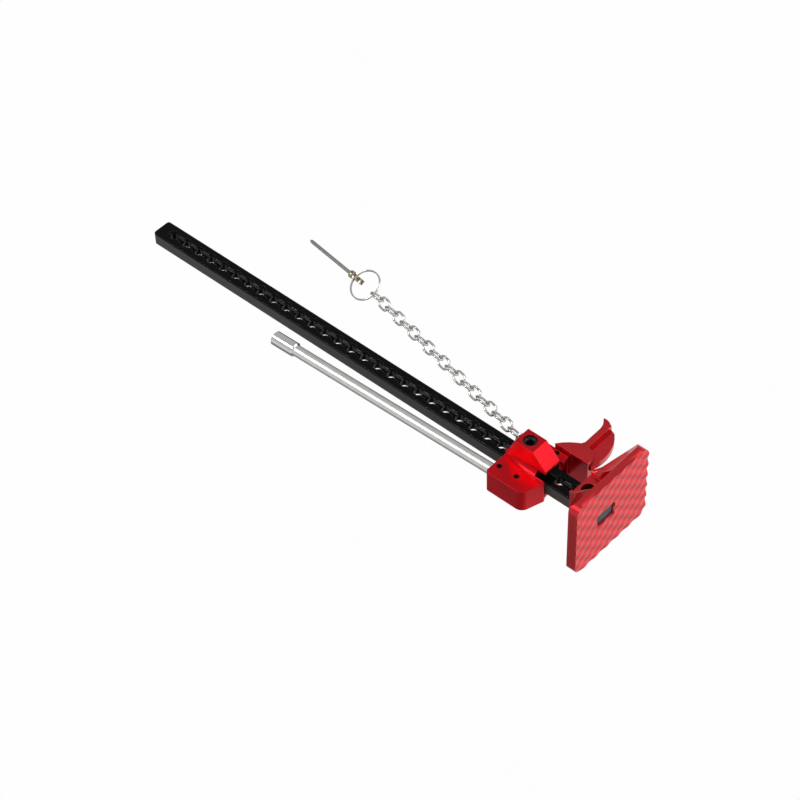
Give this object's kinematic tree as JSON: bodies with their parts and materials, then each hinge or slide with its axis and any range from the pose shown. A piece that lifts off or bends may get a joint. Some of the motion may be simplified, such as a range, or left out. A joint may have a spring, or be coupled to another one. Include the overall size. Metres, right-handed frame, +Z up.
{
  "type": "scale model farm jack",
  "caption": "Scale-model farm jack: drilled bar in a ribbed foot plate, sliding head with hooked lifting nose, stowed handle tube and a locking pin on a chain.",
  "frame": {"origin": "on the bar's centre line, at the foot plate's outer face", "axes": "+X along the bar from the foot plate to the free end, +Y the handle side, +Z up through the bar's holes"},
  "size_m": [0.1232, 0.0305, 0.0193],
  "materials": {
    "black_anodised": "glossy black anodised",
    "red_anodised": "satin red anodised",
    "black_oxide": "black oxide steel",
    "satin_steel": "satin drawn tube",
    "chromed_steel": "polished chrome",
    "nickel_brass": "pale nickelled brass",
    "pin_steel": "bright steel wire",
    "chain_steel": "bright nickel plate"
  },
  "bodies": {
    "frame": {"bar": "black_anodised", "foot_plate": "red_anodised"},
    "foot_screw": {"foot_set_screw": "black_oxide"},
    "head": {"head_block": "red_anodised", "lifting_nose": "red_anodised", "nose_pin": "black_oxide", "grub_screws": "black_oxide", "chain_eye_screw": "chain_steel"},
    "head_screw": {"head_set_screw": "black_oxide"},
    "handle": {"handle_tube": "satin_steel", "handle_sleeve": "chromed_steel"},
    "link_01": {"link_01": "chain_steel"},
    "link_02": {"link_02": "chain_steel"},
    "link_03": {"link_03": "chain_steel"},
    "link_04": {"link_04": "chain_steel"},
    "link_05": {"link_05": "chain_steel"},
    "link_06": {"link_06": "chain_steel"},
    "link_07": {"link_07": "chain_steel"},
    "link_08": {"link_08": "chain_steel"},
    "link_09": {"link_09": "chain_steel"},
    "link_10": {"link_10": "chain_steel"},
    "link_11": {"link_11": "chain_steel"},
    "link_12": {"link_12": "chain_steel"},
    "link_13": {"link_13": "chain_steel"},
    "link_14": {"link_14": "chain_steel"},
    "link_15": {"link_15": "chain_steel"},
    "link_16": {"link_16": "chain_steel"},
    "link_17": {"link_17": "chain_steel"},
    "link_18": {"link_18": "chain_steel"},
    "link_19": {"link_19": "chain_steel"},
    "ring": {"split_ring": "chain_steel"},
    "pin": {"pin_ferrule": "nickel_brass", "locking_pin": "pin_steel"}
  },
  "joints": [
    {"name": "head_slide", "type": "slide", "parent": "frame", "child": "head", "axis": [1, 0, 0], "range_m": [-0.0033, 0.0962]},
    {"name": "foot_screw_turn", "type": "hinge", "parent": "frame", "child": "foot_screw", "pos_m": [0.0046, 0, 0], "axis": [0, 0, 1], "continuous": true},
    {"name": "head_screw_turn", "type": "hinge", "parent": "head", "child": "head_screw", "pos_m": [0.0194, 0, 0], "axis": [0, 0, 1], "continuous": true},
    {"name": "handle_slide", "type": "slide", "parent": "head", "child": "handle", "axis": [0.9996, 0.0279, 0], "range_m": [0, 0.006]},
    {"name": "link_01_swing", "type": "hinge", "parent": "head", "child": "link_01", "pos_m": [0.02622, -0.0045, 0.00047], "axis": [0.1304, 0.6435, -0.7542], "range_deg": [-35, 35]},
    {"name": "link_02_swing", "type": "hinge", "parent": "link_01", "child": "link_02", "pos_m": [0.02887, -0.00515, 0.00037], "axis": [0.2029, 0.7273, 0.6556], "range_deg": [-35, 12]},
    {"name": "link_03_swing", "type": "hinge", "parent": "link_02", "child": "link_03", "pos_m": [0.03153, -0.00581, 0.00027], "axis": [-0.1304, -0.6435, 0.7542], "range_deg": [-35, 35]},
    {"name": "link_04_swing", "type": "hinge", "parent": "link_03", "child": "link_04", "pos_m": [0.03419, -0.00646, 0.00018], "axis": [-0.2029, -0.7273, -0.6556], "range_deg": [-35, 35]},
    {"name": "link_05_swing", "type": "hinge", "parent": "link_04", "child": "link_05", "pos_m": [0.03685, -0.00711, 0.00008], "axis": [0.1304, 0.6435, -0.7542], "range_deg": [-35, 35]},
    {"name": "link_06_swing", "type": "hinge", "parent": "link_05", "child": "link_06", "pos_m": [0.03951, -0.00777, -0.00002], "axis": [0.2029, 0.7273, 0.6556], "range_deg": [-35, 35]},
    {"name": "link_07_swing", "type": "hinge", "parent": "link_06", "child": "link_07", "pos_m": [0.04217, -0.00842, -0.00012], "axis": [-0.1304, -0.6435, 0.7542], "range_deg": [-35, 35]},
    {"name": "link_08_swing", "type": "hinge", "parent": "link_07", "child": "link_08", "pos_m": [0.04483, -0.00908, -0.00022], "axis": [-0.2029, -0.7273, -0.6556], "range_deg": [-35, 35]},
    {"name": "link_09_swing", "type": "hinge", "parent": "link_08", "child": "link_09", "pos_m": [0.04749, -0.00973, -0.00031], "axis": [0.1304, 0.6435, -0.7542], "range_deg": [-35, 35]},
    {"name": "link_10_swing", "type": "hinge", "parent": "link_09", "child": "link_10", "pos_m": [0.05015, -0.01038, -0.00041], "axis": [0.2029, 0.7273, 0.6556], "range_deg": [-35, 35]},
    {"name": "link_11_swing", "type": "hinge", "parent": "link_10", "child": "link_11", "pos_m": [0.05281, -0.01104, -0.00051], "axis": [-0.1304, -0.6435, 0.7542], "range_deg": [-35, 35]},
    {"name": "link_12_swing", "type": "hinge", "parent": "link_11", "child": "link_12", "pos_m": [0.05547, -0.01169, -0.00061], "axis": [-0.2029, -0.7273, -0.6556], "range_deg": [-35, 35]},
    {"name": "link_13_swing", "type": "hinge", "parent": "link_12", "child": "link_13", "pos_m": [0.05812, -0.01234, -0.00071], "axis": [0.1304, 0.6435, -0.7542], "range_deg": [-35, 35]},
    {"name": "link_14_swing", "type": "hinge", "parent": "link_13", "child": "link_14", "pos_m": [0.06078, -0.013, -0.0008], "axis": [0.2029, 0.7273, 0.6556], "range_deg": [-35, 35]},
    {"name": "link_15_swing", "type": "hinge", "parent": "link_14", "child": "link_15", "pos_m": [0.06344, -0.01365, -0.0009], "axis": [-0.1304, -0.6435, 0.7542], "range_deg": [-35, 35]},
    {"name": "link_16_swing", "type": "hinge", "parent": "link_15", "child": "link_16", "pos_m": [0.0661, -0.0143, -0.001], "axis": [-0.2029, -0.7273, -0.6556], "range_deg": [-35, 35]},
    {"name": "link_17_swing", "type": "hinge", "parent": "link_16", "child": "link_17", "pos_m": [0.06876, -0.01496, -0.0011], "axis": [0.1304, 0.6435, -0.7542], "range_deg": [-35, 35]},
    {"name": "link_18_swing", "type": "hinge", "parent": "link_17", "child": "link_18", "pos_m": [0.07142, -0.01561, -0.0012], "axis": [0.2029, 0.7273, 0.6556], "range_deg": [-35, 35]},
    {"name": "link_19_swing", "type": "hinge", "parent": "link_18", "child": "link_19", "pos_m": [0.07408, -0.01627, -0.00129], "axis": [-0.1304, -0.6435, 0.7542], "range_deg": [-35, 35]},
    {"name": "ring_swing", "type": "hinge", "parent": "link_19", "child": "ring", "pos_m": [0.07674, -0.01692, -0.00139], "axis": [0.1461, 0.4633, 0.8741], "range_deg": [-35, 35]},
    {"name": "pin_swing", "type": "hinge", "parent": "ring", "child": "pin", "pos_m": [0.08298, -0.01824, -0.00174], "axis": [0.1238, 0.868, -0.4808], "range_deg": [-80, 80]}
  ]
}
